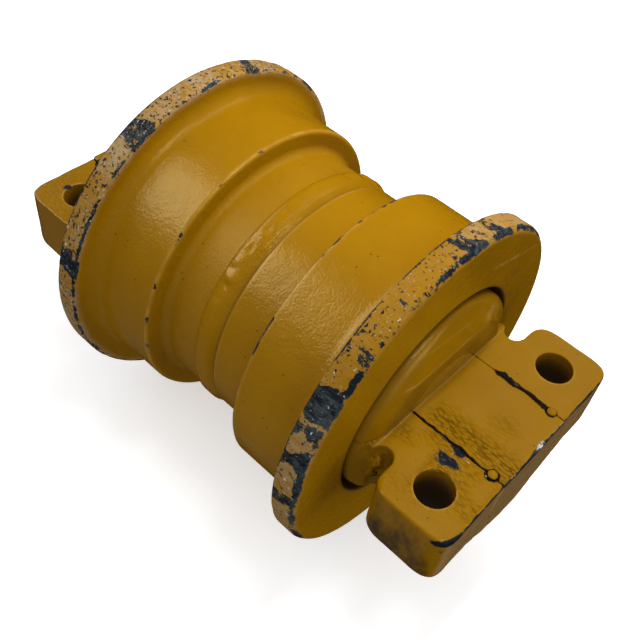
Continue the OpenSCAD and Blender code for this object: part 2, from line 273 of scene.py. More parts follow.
def mirrored(verts, faces, normals, side):
    """The +Y end as drawn, or its mirror image at the -Y end."""
    if side > 0:
        return verts, faces, normals
    flip = np.array([1.0, -1.0, 1.0])
    return verts * flip, faces[:, ::-1], None if normals is None else normals * flip


# --- Collars ---
# Weld spatter in the -X notch of the -Y collar: x, y, z and radius of each lump
SPATTER = (
    (-63.5, 118.5, 2.0, 4.2), (-60.5, 122.5, -4.0, 3.6),
    (-66.0, 118.0, -7.0, 3.2), (-61.0, 119.0, 8.0, 2.6),
)


def disc_field(p, side, rough, skin):
    """The round cover over the roller's recess, up to the wall that faces the ears."""
    x, y, z = p.T
    rad = np.hypot(x, z)
    rim = both(rad - DISC_R, y - DISC_EDGE_Y, DISC_ROUND)
    cone = (rad - CONE_R) * CONE_NORMAL[0] + (y - DISC_EDGE_Y) * CONE_NORMAL[1]
    disc = either(rim, np.maximum(np.maximum(cone, y - WALL_Y - 2), rad - DISC_TOP_R), 2.0)
    slope = (y - WALL_Y) * math.cos(RIDGE_SLOPE) + (z - RIDGE_Z) * math.sin(RIDGE_SLOPE)
    if side < 0 and rough:
        slope = slope - 0.55 * step(-0.6, 0.6, x - PAD_X + (z - RIDGE_Z) * PAD_LEAN)
    upper = (y - WALL_Y + 3.1) * PAD_NORMAL[0] + (z - PAD_Z + x * 0.05) * PAD_NORMAL[1]
    disc = both(both(disc, slope, 0.5), upper, 0.5) + skin
    disc = both(disc, y - WALL_Y, 0.4)
    return both(disc, DISC_IN_Y - y, 1.5)


def ears_field(p, side, rough, skin):
    """The two ears with their boss and notches, cut flat at the bolting face."""
    x, y, z = p.T
    ax, rad = np.abs(x), np.hypot(x, z)
    ears = both(both(ax - EAR_X, y - END_Y, EAR_ROUND), EAR_IN_Y - y, EAR_IN_ROUND)
    plan = np.minimum(ears, np.maximum(np.maximum(ax - NOTCH_X, 108 - y), y - END_Y))
    slot = np.hypot(np.minimum(ax - NOTCH_X, 0), y - NOTCH_Y) - NOTCH_R
    plan = both(plan, -slot, 1.5)
    front = either(both(ax - EAR_X, EAR_LOW_Z - z, EAR_LOW_ROUND), rad - BOSS_R, BOSS_FILLET)
    block = both(plan, front, BLOCK_ROUND) + skin
    if side < 0 and rough:
        spatter = 1.4 * noise(p, 3.4, 9) + 0.9 * noise(p, 1.9, 10)
        for lx, ly, lz, size in SPATTER:
            lump = np.sqrt((x - lx) ** 2 + (y - ly) ** 2 + ((z - lz) * 0.8) ** 2) - size
            block = either(block, lump + spatter, 2.0)
    worn = 1.2
    if rough:
        worn = 1.2 + 0.9 * np.maximum(noise(p, 6, 11 + side), 0) * step(150, 182, y)
        worn = worn + 1.8 * step(-60, -80, x) * (side < 0)
    return both(block, z - FACE_H, worn)


def collar_bores(p, side, rough, body):
    """The shaft bore, seal cavity, O-ring groove, bolt holes and pin holes cut from a collar."""
    x, y, z = p.T
    ax, rad = np.abs(x), np.hypot(x, z)
    gap = 0.0
    if rough:
        gap = step(10, 18, z) * (0.35 + 0.5 * noise(p, 4, 13 + side)) * step(WALL_Y, 125, y)
    body = both(body, SHAFT_R + gap - rad, 0.6)
    seal_wall = SEAL_R + (SEAL_DEPTH - (y - SEAL_Y)) * SEAL_TAPER
    cavity = np.maximum(np.maximum(HUB_R - rad, rad - seal_wall), y - CAVITY_Y)
    body = both(body, -cavity, 0.4)
    groove = np.maximum(rad - ORING_GROOVE_R, np.abs(y - ORING_Y) - ORING_GROOVE_W / 2)
    body = np.maximum(body, -groove)
    bolt = np.hypot(ax - BOLT_X, y - BOLT_Y)
    body = both(body, BOLT_R - bolt, 0.7)
    body = both(body, -both(bolt - SPOT_R, z - SPOT_Z, 0.5), 0.6)
    pin = np.hypot(ax - PIN_X, y - PIN_Y) - np.where(z > PIN_NECK_Z, PIN_HEAD_R + 0.4, PIN_R + 0.4)
    return np.maximum(body, -np.maximum(pin, PIN_FOOT_Z - z))


def collar_field(p, side, rough=True):
    """Signed distance of a collar of the +Y end; side picks the casting's own lumps."""
    y, z = p[:, 1], p[:, 2]
    rad = np.hypot(p[:, 0], z)
    skin = 0.0
    if rough:
        lumps = 0.3 + 0.30 * noise(p, 16, 3 + side) + 0.13 * noise(p, 5.5, 5 + side)
        lumps = lumps + 0.05 * noise(p, 2.6, 7)
        calm = step(26, 34, z)
        skin = lumps * (1 - 0.75 * calm) - 0.2 * calm
    disc, ears = disc_field(p, side, rough, skin), ears_field(p, side, rough, skin)
    body = either(disc, ears, 0.9 + 5.0 * step(15, 6, z))
    hub = np.maximum(np.maximum(rad - HUB_R, HUB_IN_Y - y), y - WALL_Y)
    body = collar_bores(p, side, rough, np.minimum(body, hub))
    return np.maximum(body, y - END_Y)


# Chips on the bolting faces: how bare, place and size; the near ones are on the -Y collar
NEAR_CHIPS = (
    (0.66, (-88, 173, FACE_H - 8), (3, 5, 2.2)),
    (0.62, (-84, 181, FACE_H - 11), (3, 3, 1.6)),
    (0.72, (-42.3, 151.5, FACE_H), (6.5, 12, 4)),
    (0.70, (-34.0, 153.0, FACE_H), (2.6, 6, 4)),
)
FAR_CHIPS = ((0.62, (-64, 170, FACE_H), (8, 2.6, 3)),)
# Bright steel on the near collar and the near end of the shaft: place and size
BARE_MARKS = (
    ((5.6, END_Y - 0.8, FLAT_H), (5, 2.6, 2.6)),
    ((84.8, 179.5, FACE_H - 0.8), (3, 3, 2.2)),
    ((-PIN_X - 2.72, 172, FACE_H), (1.0, 1.6, 2)),
    ((-36.5, 150, FACE_H), (0.8, 2.6, 2)),
    ((-34.5, 160, FACE_H), (0.7, 1.8, 2)),
    ((-87.5, 165, FACE_H - 0.5), (1.2, 1.3, 1.2)),
)


def edge_wear(p, side):
    """How far the paint is gone along the edges of the bolting face of a collar."""
    x, y, z = p.T
    ax = np.abs(x)
    corner = both(ax - EAR_X, y - END_Y, EAR_ROUND)
    top = step(-2.5, 0.2, z - FACE_H)
    rim = hill(corner, 1.5) * hill(z - FACE_H + 0.6, 2.0)
    patchy = 0.76 + 0.24 * noise(p, 9, 23 + side) + 0.18 * noise(p, 3.5, 22)
    wear = rim * patchy * step(128, 150, y)
    for bare, place, size in NEAR_CHIPS if side < 0 else FAR_CHIPS:
        wear = np.maximum(wear, bare * spot(p, place, size))
    if side < 0:
        scar = 1.3 * spot(p, (-80, 180, FACE_H - 2.6), (13, 10, 3.3)) * hill(corner, 3)
        wear = np.maximum(wear, scar)
    beside = hill(ax - PIN_X - 1.2, 1.6) * top * (0.22 + 0.34 * noise(p, 6, 24 + side))
    return np.clip(wear + beside * step(130, 140, y), 0, 1)


def bare_metal(p, side):
    """Bright spots on a collar or the shaft's end edge, where bare steel shows."""
    if side > 0:
        return np.zeros(len(p))
    return np.max([spot(p, place, size) for place, size in BARE_MARKS], axis=0)


def collar_highlights_and_smudge(p, side):
    """Painted highlights along the edges of a collar: its ridge, pad lines, wall foot, bolt-hole rims and
    disc rim; and a pale smudge on the disc.
    """
    x, y, z = p.T
    ax = np.abs(x)
    slack = 0.45 + 0.25 * noise(p, (9, 4, 9), 45)
    # painted highlights: light lines along the ridge and the pad's edges, for light caught by those edges
    ridge = hill(z - RIDGE_Z, 0.75) * step(113, 115, y) * step(38, 10, x)
    pad = np.zeros(len(p))
    if side < 0:
        leaning = x - PAD_X + (z - RIDGE_Z) * PAD_LEAN
        pad = hill(leaning, 0.8) * step(47, 49, z) * step(64, 61, z) * step(108, 111, y)
        above = hill(z - PAD_Z + x * 0.10, 0.8) * step(108, 111, y) * step(20, 12, x)
        pad = np.maximum(pad, 0.6 * above)
    # painted highlight along the fillet at the foot of the wall
    foot_highlight = hill(y - WALL_Y - 0.5, 0.6) * hill(z - FACE_H - 0.3, 0.9)
    foot_highlight *= np.where(x < -PIN_X, 1.1, 0.35)
    bolt = np.hypot(ax - BOLT_X, y - BOLT_Y)
    # painted highlight on the lit side of each bolt hole's rim
    lit = step(-0.4, 0.7, ((BOLT_X - ax) * np.sign(x) * 0.8 - (BOLT_Y - y) * 0.5) / BOLT_R + 0.35)
    hole = hill(bolt - BOLT_R - 0.35, 0.45) * step(FACE_H - 1.0, FACE_H - 0.4, z) * lit
    # painted highlight along the upper part of the disc's rounded rim
    rim = hill(np.hypot(x, z) - DISC_R + 2.2, 1.1) * hill(y - DISC_EDGE_Y + 2.4, 1.4)
    rim *= hill(x + 22, 26) * (z > 0)
    smudge = spot(p, (40, 114, 56), (10, 5, 12)) * np.clip(0.3 + noise(p, 7, 49), 0, 0.7) * (side < 0)
    highlight_lines = np.max([ridge * 0.7, pad * 0.32, foot_highlight, hole * 0.8, rim * 0.8, smudge], axis=0)
    return np.clip(highlight_lines * slack * 1.7, 0, 1)


def joint_crack(p):
    """Closeness to the two lines where the collar meets the shaft's flat."""
    x, y, z = p.T
    wander = 0.60 * noise(p, 7, 25) + 0.60 * noise(p, 2.6, 27)
    wide = step(129, 138, y) * (2.7 + 1.3 * noise(p, 4.5, 29)) * step(173, 168, y)
    narrow = 0.60 + 0.55 * np.maximum(noise(p, 6, 21), 0) + 1.4 * hill(y - 152, 4.5)
    width = np.where(x > 0, 0.40 + wide, narrow)
    near = hill(np.abs(x) - PIN_X - 0.35 + wander, width)
    inner_end = np.exp(-(((x + PIN_X) ** 2 + (y - WALL_Y - 1.6) ** 2) / 1.6))
    # a dark ring round each pin head, darker towards one side
    ring = hill(np.hypot(np.abs(x) - PIN_X, y - PIN_Y) - PIN_HEAD_R - 0.7, 1.0)
    toward = (PIN_X - np.abs(x)) * np.sign(x) * 0.4 + (y - PIN_Y) * 0.15
    ring *= np.clip(0.72 + 0.16 * toward + 0.50 * noise(p, 3.5, 30), 0, 1)
    dark = np.maximum(np.maximum(near, inner_end), ring)
    return dark * step(FACE_H - 4, FACE_H - 1, z) * step(WALL_Y - 1, WALL_Y + 1, y)


def bolt_shade(p):
    """Painted shade down inside the bolt holes, darker towards the bottom."""
    bolt = np.hypot(np.abs(p[:, 0]) - BOLT_X, p[:, 1] - BOLT_Y)
    return step(BOLT_R + 0.7, BOLT_R + 0.1, bolt) * step(FACE_H - 1.5, FACE_H - 16, p[:, 2])


def collar_marks(p, normals, side):
    """The attributes of a collar, at points p of the +Y end as drawn."""
    x, y, z = p.T
    patches = np.clip(0.45 + 0.9 * noise(p, 14, 43), 0, 1)
    wrinkle = hill(x + 48, 22) * patches if side < 0 else 0.10
    wrinkle = wrinkle * step(17, 18, z) * step(FACE_H + 1.5, FACE_H + 0.6, z)
    # painted shade: darker deep inside towards the roller, and at the foot of the wall above the bolting
    # face
    deep = step(108, 96, y)
    wall_foot_shade = hill(y - WALL_Y, 0.9) * step(RIDGE_Z + 1, RIDGE_Z - 6, z)
    deep += wall_foot_shade * step(FACE_H + 0.8, FACE_H + 3, z) * (0.24 + 0.12 * noise(p, (14, 3, 5), 37))
    # painted shade: the ears' outer sides darker, more so low down, and faces turned downwards darker;
    # noise in the material breaks it into grunge
    outward = step(0.3, 0.9, np.abs(normals[:, 0])) * step(EAR_X - 8, EAR_X - 2, np.abs(x))
    low = step(FACE_H + 2, EAR_LOW_Z, z)
    shade_and_soot_strength = 1.0 if side < 0 else 0.45
    return {
        "wear": edge_wear(p, side),
        "bare": bare_metal(p, side),
        "edge": collar_highlights_and_smudge(p, side),
        "crack": joint_crack(p),
        "wrinkle": wrinkle * np.ones(len(p)),
        "shade_and_grime": np.clip(deep + 0.85 * bolt_shade(p), 0, 1),
        "shade_and_soot": (outward * (0.38 + 0.25 * low) + 0.30 * low * step(0.2, 0.8, -normals[:, 2])) * shade_and_soot_strength,
        # painted sheen: the end faces lightened to a greyish tan, with dust
        "dust_and_sheen": step(0.5, 0.9, normals[:, 1]) * step(END_Y - 3, END_Y - 1, y),
    }


def build_collar(side):
    """One cast collar, with a finer grid where its edges and the ridge are."""
    joint, edge = PIN_X + 5, EAR_X + 1
    # grid lines in X, Y and Z: from, to, coarse step, fine step, and where it is fine
    axes = [
        stations(-90.6, 91.2, 1.3, 0.8, ((-edge, -76), (-joint, -27), (27, joint), (76, edge))),
        stations(80.2, 186.5, 1.4, 0.7, ((110, 118), (146, 150), (165, 186))),
        stations(-75.8, 76.0, 1.4, 0.6, ((14, 20), (44, 50))),
    ]
    verts, quads, normals = contour(
        lambda p: collar_field(p, side, False), lambda p: collar_field(p, side), axes
    )
    attributes = collar_marks(verts, normals, side)
    verts, quads, normals = mirrored(verts, quads, normals, side)
    return blend_mesh(f"{ENDS[side]}_collar_casting", verts, quads, normals, attributes)


# --- Shaft ---
def shaft_field(p, rough=True):
    """Signed distance of the shaft, with its flats, pin holes, centre drill and oil port."""
    x, y, z = p.T
    ay, rad = np.abs(y), np.hypot(x, z)
    body = both(rad - SHAFT_R, ay - END_Y, 1.0)
    skin = 0.0
    if rough:
        skin = 0.10 * noise(p, 12, 31) + 0.05 * noise(p, 4, 33)
    cut = np.maximum(FLAT_H + skin - z, WALL_Y - ay)
    ragged = 0.5
    if rough:
        ragged = 0.5 + 0.5 * np.maximum(noise(p, 5, 35), 0)
    body = both(body, -cut, ragged)
    pin = np.hypot(np.abs(x) - PIN_X, ay - PIN_Y) - np.where(z > PIN_NECK_Z, PIN_HEAD_R + 0.35, PIN_R + 0.4)
    body = np.maximum(body, -np.maximum(pin, PIN_FOOT_Z - z))
    drill_end = CENTRE_DRILL_DEPTH - END_Y
    centre = rad - CENTRE_DRILL_R * np.clip((drill_end - y) / CENTRE_DRILL_DEPTH, 0, 1)
    body = np.maximum(body, -np.maximum(centre, y - drill_end))
    port = np.maximum(rad - PORT_R, END_Y - PORT_DEPTH - y)
    body = both(body, -port, 0.5)
    shank = np.maximum(rad - PORT_SHANK_R, END_Y - PORT_DEPTH - PORT_SHANK_DEPTH - y)
    return np.maximum(body, -shank)


def build_shaft():
    """The shaft in one piece, with a finer grid at its two painted ends."""
    across = np.arange(-37.8, 38.4, 1.2)
    upward = stations(-37.8, 38.4, 1.4, 0.5, ((17, 21),))
    end = stations(105.0, 187.0, 1.2, 0.6, ((WALL_Y - 1, WALL_Y + 2), (END_Y - 3, END_Y + 1)))
    along = np.concatenate([-end[::-1], np.arange(-100, 101, 5.0), end])
    verts, quads, normals = contour(
        lambda p: shaft_field(p, False), lambda p: shaft_field(p), [across, along, upward]
    )
    x, y, z = verts.T
    q = np.stack([x, np.abs(y), z], 1)  # both ends as if they were the +Y one
    edge = hill(np.abs(y) - END_Y, 1.7) * hill(z - FLAT_H + 0.5, 2.4)
    patchy = 0.72 + 0.30 * noise(verts, 8, 41) + 0.20 * noise(verts, 3, 42)
    folded = hill(x + 22, 9) + 0.40 * np.exp(-(((x - 2) / 9) ** 2 + ((y + 160) / 12) ** 2))
    attributes = {
        "wear": np.clip(edge * patchy, 0, 1),
        "bare": bare_metal(q, -1) * (y < 0),
        # painted highlight along the fillet where the flat meets the collar's wall
        "edge": 0.55 * hill(np.abs(y) - WALL_Y - 0.8, 0.7) * step(18.5, 19, z),
        # painted sheen: the end faces lightened to a greyish tan, with dust
        "dust_and_sheen": step(END_Y - 1.2, END_Y - 0.4, np.abs(y)),
        "crack": joint_crack(q),
        "wrinkle": step(18, 19, z) * np.where(y < 0, np.clip(folded, 0, 1) * step(-118, -128, y), 0.15),
        # painted shade in the centre-drill hole at the near end
        "shade_and_grime": hill(np.hypot(x, z), 6.5) * (y < -END_Y + 9) * 0.55,
    }
    return blend_mesh("painted_shaft", verts, quads, normals, attributes)


# --- Roller shell ---
def shell_outline(side):
    """Closed outline of a shell half in (radius, y), with every edge rounded.

    The bevel under the weld ends nearer the middle on the -Y half, where its edge shows.
    """
    bevel_y = WELD_HALF if side > 0 else BARE_BEVEL_Y
    points = [(GROOVE_ROOT_R, 0.0), (GROOVE_ROOT_R, 1.0)]
    points += [(NECK_R - 1.1, bevel_y - 0.45), (NECK_R - 0.35, bevel_y + 0.1), (NECK_R, bevel_y + 1.0)]
    points += arc((NECK_R + 5, SHOULDER_Y - 5), 5, 180, 90, 8)
    points += arc((TREAD_R - 2.6, SHOULDER_Y + 2.6), 2.6, -90, 0, 8)
    points += arc((TREAD_R + 10, FLANGE_IN_Y - 10), 10, 180, 90, 12)
    points += arc((FLANGE_R - 3, FLANGE_IN_Y + 3), 3, -90, 0, 8)
    points += arc((FLANGE_R - 5, OUTER_Y - 5), 5, 0, 90, 10)
    points += arc((RECESS_R + 1.2, OUTER_Y - 1.2), 1.2, 90, 180, 4)
    points += arc((RECESS_R - 3, RECESS_FLOOR_Y + 3), 3, 0, -90, 5)
    points += [
        (56.18, RECESS_FLOOR_Y), (54.15, HOUSING_FLOOR_Y), (THRUST_R, HOUSING_FLOOR_Y),
        (THRUST_R, SEAT_Y), (BUSHING_R, SEAT_Y), (BUSHING_R, CHAMBER_HALF),
        (CHAMBER_R, CHAMBER_HALF), (CHAMBER_R, 0.0),
    ]

    def spacing(r, y):
        if r > RECESS_R - 1:
            return 1.5
        return 3.0 if y > RECESS_FLOOR_Y - 1 else 9.0

    return filled(points, spacing)


# Bands on the rims where the paint is scraped off across the flange:
# (from, to) in degrees round the axis from +X towards +Z, then how bare it is
NEAR_SCRAPES = (
    (72, 77, 0.58), (80, 82, 0.5), (84, 91, 0.55), (92, 95, 0.44), (99, 101, 0.42), (112, 114, 0.40),
    (119, 121, 0.40), (123, 124, 0.55), (126, 130, 0.46), (139, 149, 0.72),
    (150, 155, 0.60), (159, 165, 0.74), (167, 169, 0.45), (176, 181, 0.62), (206, 212, 0.60),
    (232, 246, 0.66), (263, 268, 0.55), (291, 304, 0.75), (322, 330, 0.50), (351, 356, 0.6),
    (20, 27, 0.66), (44, 48, 0.45),
)
FAR_SCRAPES = (
    (70, 76, 0.58), (84, 94, 0.30), (113, 122, 0.62), (139, 142, 0.36), (159, 166, 0.74),
    (168, 176, 0.34), (200, 206, 0.6), (228, 240, 0.7), (262, 266, 0.45), (296, 310, 0.66),
    (333, 340, 0.55), (12, 20, 0.6), (38, 44, 0.5),
)


def rim_wear(p, side):
    """Bare metal and primer on a flange: the rim's scraped bands and its two edges."""
    y, (rad, angle) = p[:, 1], around(p)
    on_rim = step(FLANGE_R - 5, FLANGE_R - 1.5, rad)
    ragged = angle + 1.6 * noise(p, 7, 51 + side) + 0.8 * noise(p, 2.8, 53) + 0.12 * (y - 98)
    scrape = np.zeros(len(p))
    for start, end, bare in NEAR_SCRAPES if side < 0 else FAR_SCRAPES:
        inside = step(start - 0.7, start + 0.7, ragged) * step(end + 0.7, end - 0.7, ragged)
        scrape = np.maximum(scrape, inside * bare)
    outer = hill(y - OUTER_Y + 2.0, 2.6) * step(FLANGE_R - 6, FLANGE_R - 2.5, rad)
    inner = hill(y - FLANGE_IN_Y - 0.9, 1.5) * step(FLANGE_R - 4, FLANGE_R - 1, rad)
    along = np.outer(angle * 2.1, (1, 0, 0))
    outer_run = 0.56 + 0.22 * noise(along, 16, 55 + side) + 0.26 * noise(along, 5, 56)
    inner_run = 0.46 + 0.20 * noise(along, 14, 57 + side) + 0.20 * noise(along, 5, 58)
    outer_run -= 0.05 * side
    inner_run += 0.10 if side > 0 else 0.07
    wear = np.maximum(scrape * on_rim * step(OUTER_Y + 1, OUTER_Y - 2, y), 0.20 * on_rim)
    return np.clip(np.maximum(np.maximum(wear, outer * outer_run), inner * inner_run), 0, 1)


# Bright flecks on the near rim: degrees round the axis, y, size. The far rim has them turned on.
FLECKS = (
    (116, 104, 1.7), (121, 101, 1.3), (127.5, 96, 1.1), (109, 95, 0.9), (132, 102, 1.0),
    (136, 94, 1.2), (152, 100, 1.1), (158, 105, 1.2), (170, 97, 1.2), (184, 103, 1.5),
    (240, 99, 1.6), (300, 101, 1.5),
)
FAR_FLECKS_TURN = 37


def rim_flecks(p, side):
    """Spots on the rim where bright steel shows through."""
    bare = np.zeros(len(p))
    for degrees, y, size in FLECKS:
        turn = math.radians(degrees + (0 if side < 0 else FAR_FLECKS_TURN))
        place = (FLANGE_R * math.cos(turn), y, FLANGE_R * math.sin(turn))
        bare = np.maximum(bare, spot(p, place, size * 1.3))
    return bare


def tread_nicks(p, side):
    """Small chips along the inner shoulder of a tread."""
    rad, angle = around(p)
    edge = hill(p[:, 1] - SHOULDER_Y - 1.2, 1.5) * step(TREAD_R - 4, TREAD_R - 1, rad)
    along = np.outer(angle * 1.8, (1, 0, 0))
    run = 0.42 + 0.42 * noise(along, 15, 61 + side) + 0.34 * noise(along, 3.5, 63)
    if side < 0:
        return edge * run
    mark = hill(angle - 134.5, 1.6) + 0.5 * hill(angle - 169, 1.2)
    return np.clip(edge * (run - 0.26 + mark * 0.62), 0, 0.75)


def shell_edge_highlights_and_wear(p, side):
    """Light lines along the corners of a shell half, broken up a little: painted highlights on the neck
    edge and tread shoulders, a worn light strip at the flange's inner edge, and a scratch.
    """
    y, rad = p[:, 1], around(p)[0]
    # painted highlights along the -Y neck edge and the tread shoulder
    neck = hill(y - BARE_BEVEL_Y - 0.8, 0.6) * step(NECK_R - 1, NECK_R - 0.3, rad) * (side < 0)
    shoulder = hill(y - SHOULDER_Y - 1.5, 0.9) * step(TREAD_R - 2.2, TREAD_R - 0.8, rad)
    inner = hill(y - FLANGE_IN_Y - 0.9, 0.8) * step(FLANGE_R - 3, FLANGE_R - 1, rad)
    uneven = 0.55 + 0.5 * noise(p, 9, 47) + 0.2 * noise(p, 3, 48)
    # a long scratch on the near flange's outer face, between (37, 86) and (85, 72) in x and z
    scratch = hill(p[:, 2] - 79 + (p[:, 0] - 61) * 0.29, 1.0) * step(34, 40, p[:, 0])
    scratch *= step(90, 82, p[:, 0]) * (y > OUTER_Y - 1) * (side < 0) * 1.5
    return np.clip(np.max([neck * 0.6, shoulder * 0.9, inner, scratch], axis=0) * uneven, 0, 1)


def scuffing(p, side):
    """How chalky the rim's paint is rubbed, by the angle round the axis."""
    angle = around(p)[1]
    if side < 0:
        scuffed = 0.10 + 0.60 * step(136, 146, angle) * step(215, 190, angle)
        return scuffed + 0.45 * step(96, 82, angle) * step(40, 55, angle)
    scuffed = 0.38 + 0.40 * noise(p, (14, 30, 14), 77)
    scuffed += 0.42 * step(168, 176, angle) * step(225, 205, angle)
    return scuffed + 0.42 * step(134, 126, angle) * step(80, 95, angle)


def shell_marks(p, side, wear, on_rim):
    """The attributes of a shell half, at points p of the +Y end as drawn."""
    y, rad = p[:, 1], around(p)[0]
    # painted shade inside the recess and the bore; the smears below are dirt on the near flange face
    shade_and_grime = step(RECESS_R + 2.5, RECESS_R - 1, rad) * step(CHAMBER_HALF, RECESS_FLOOR_Y - 2, y)
    if side < 0:
        smears = spot(p, (71, OUTER_Y, 54), (7, 2, 5)) + 0.6 * spot(p, (75, OUTER_Y, 38), (3, 2, 5))
        smears = 1.2 * smears * np.clip(0.40 + noise(p, 5, 79), 0, 1)
        shade_and_grime = np.clip(np.maximum(shade_and_grime, smears), 0, 1)
    specks = on_rim * step(OUTER_Y + 1, OUTER_Y - 2, y)
    overspray = 0.0
    if side > 0:
        overspray = step(NECK_R + 6, NECK_R + 2, rad) * step(WELD_HALF, WELD_HALF + 5, y) * (y < 45)
    return {
        "wear": wear,
        "matt": np.maximum(specks, 0.55 * overspray),
        "bare": rim_flecks(p, side),
        "edge": shell_edge_highlights_and_wear(p, side),
        "rubbed": np.clip(scuffing(p, side), 0.1, 1),
        "specks": specks * (1.0 if side < 0 else 1.15),
        "shade_and_grime": shade_and_grime,
    }


def build_shell(side):
    """One forged half of the roller, knocked about on its rim."""
    p, quads = turned(shell_outline(side), SHELL_SEGMENTS)
    rad = around(p)[0]
    away = p * (1, 0, 1) / rad[:, None]
    outside = step(NECK_R - 3, NECK_R - 0.2, rad) * step(WELD_HALF - 1, WELD_HALF + 4, p[:, 1])
    wear = np.maximum(rim_wear(p, side), tread_nicks(p, side))
    on_rim = step(FLANGE_R - 6, FLANGE_R - 1.5, rad)
    wavy = 0.10 * noise(p, 30, 71 + side) + 0.05 * noise(p, 9, 73 + side)
    knocks = np.minimum(noise(p, 7, 75 + side) + 0.35, 0) * 0.8 * on_rim
    depth = wavy * outside - 0.22 * step(0.35, 0.75, wear) + knocks
    verts = p + away * np.minimum(depth * outside, 0)[:, None]
    verts, quads, _ = mirrored(verts, quads, None, side)
    attributes = shell_marks(p, side, wear, on_rim)
    return blend_mesh(f"{ENDS[side]}_shell_forging", verts, quads, None, attributes)


# --- Weld ---
# Height of the weld above the waist, across the joint from -Y to +Y
PROFILE_Y = (-7.4, -6.2, -4.5, -2.0, 0.5, 2.8, 5.0, 7.0, 9.0, 10.4, 11.0)
PROFILE_H = (-3.0, -2.4, -1.3, 0.45, 1.55, 2.05, 2.20, 2.15, 1.50, 0.45, 0.02)
# The weld's two toes and the middle of its bead in y, and how high it stands there
TOE_RIGHT, TOE_LEFT, BEAD_MIDDLE, CREST_H = -7.4, 10.9, 4.5, 2.1


def bead_height(verts):
    """Height of the weld above the waist: a low lumpy bead, undercut on its -Y side."""
    y = verts[:, 1]
    angle = np.arctan2(verts[:, 2], verts[:, 0])
    ring = np.stack([NECK_R * np.cos(angle), 0 * y, NECK_R * np.sin(angle)], 1)
    sway = 0.8 * noise(ring, 24, 81) + 0.35 * noise(ring, 8, 83)
    yc = y + sway * step(9, 4, np.abs(y - 2.5))
    crest = CREST_H + 0.35 * noise(ring, 20, 85)
    bead = np.interp(yc, PROFILE_Y, PROFILE_H) + (crest - CREST_H) * hill(yc - BEAD_MIDDLE, 3.5)
    ripple = 0.17 * noise(verts, (6, 10, 6), 87) + 0.10 * noise(verts, (2.6, 3.6, 2.6), 89)
    lumps = 1.3 * np.maximum(noise(verts, (9, 8, 9), 91) - 0.10, 0)
    dents = -1.1 * np.maximum(noise(verts, (5, 5, 5), 93) - 0.30, 0)
    facing = hill(np.degrees(angle) - 134, 24)
    rough_part = np.maximum(step(0, 0.5, noise(ring, 40, 95) + 0.1), facing)
    texture = (ripple + lumps + dents) * hill(yc - BEAD_MIDDLE, 4.6) * (0.35 + 0.65 * rough_part)
    return bead + texture - 0.12 * step(TOE_LEFT - 0.9, TOE_LEFT, y)


def build_weld():
    """The closing weld round the waist."""
    across = np.arange(TOE_RIGHT, TOE_LEFT + 0.01, 0.55)
    outline = [(GROOVE_ROOT_R, -1.0)] + [(NECK_R, y) for y in across] + [(GROOVE_ROOT_R, 1.0)]
    verts, quads = turned(np.array(outline), WELD_SEGMENTS)
    rad = around(verts)[0]
    skin = rad > NECK_R - 0.01
    # painted shade on the weld's undercut -Y side, where its slope faces away from the light
    attributes = {"shade_and_grime": step(-3.6, -6.4, verts[:, 1]) * 0.40 * skin}
    grown = (rad + bead_height(verts)) / rad
    verts[skin] *= np.stack([grown, np.ones_like(rad), grown], 1)[skin]
    return blend_mesh("closing_weld_bead", verts, quads, None, attributes)


# --- Small parts ---
def build_pins(side):
    """Two dowels with heads rounded over by paint."""
    dome = [(0.02, 20.55), (0.9, 20.5), (1.8, 20.3), (2.5, 19.95), (3.0, 19.4), (PIN_HEAD_R, 18.6)]
    dome += [(PIN_HEAD_R, PIN_NECK_Z - 0.5), (PIN_R, PIN_NECK_Z - 1)]
    outline = [(PIN_R, 4.0), (PIN_R, PIN_FOOT_Z + 0.5), (PIN_R - 0.5, PIN_FOOT_Z), (0.02, PIN_FOOT_Z)]
    verts, quads = turned(np.array(dome + outline), PIN_SEGMENTS)
    verts = verts[:, [0, 2, 1]]
    quads = quads[:, ::-1]
    parts, faces = [], []
    for k, sx in enumerate((-1, 1)):
        v = verts + 0
        v[:, 2] += step(15, 19, v[:, 2]) * 0.25 * (noise(v + 50 * k, 3.0, 101 + side) - 0.6)
        parts.append(v + np.array([sx * PIN_X, side * PIN_Y, 0]))
        faces.append(quads + k * len(verts))
    verts = np.concatenate(parts)
    from_pin = np.hypot(np.abs(verts[:, 0]) - PIN_X, np.abs(verts[:, 1]) - PIN_Y)
    crack = 0.8 * hill(from_pin - PIN_HEAD_R, 0.35)
    return blend_mesh(f"{ENDS[side]}_dowel_heads", verts, np.concatenate(faces), None, {"crack": crack})


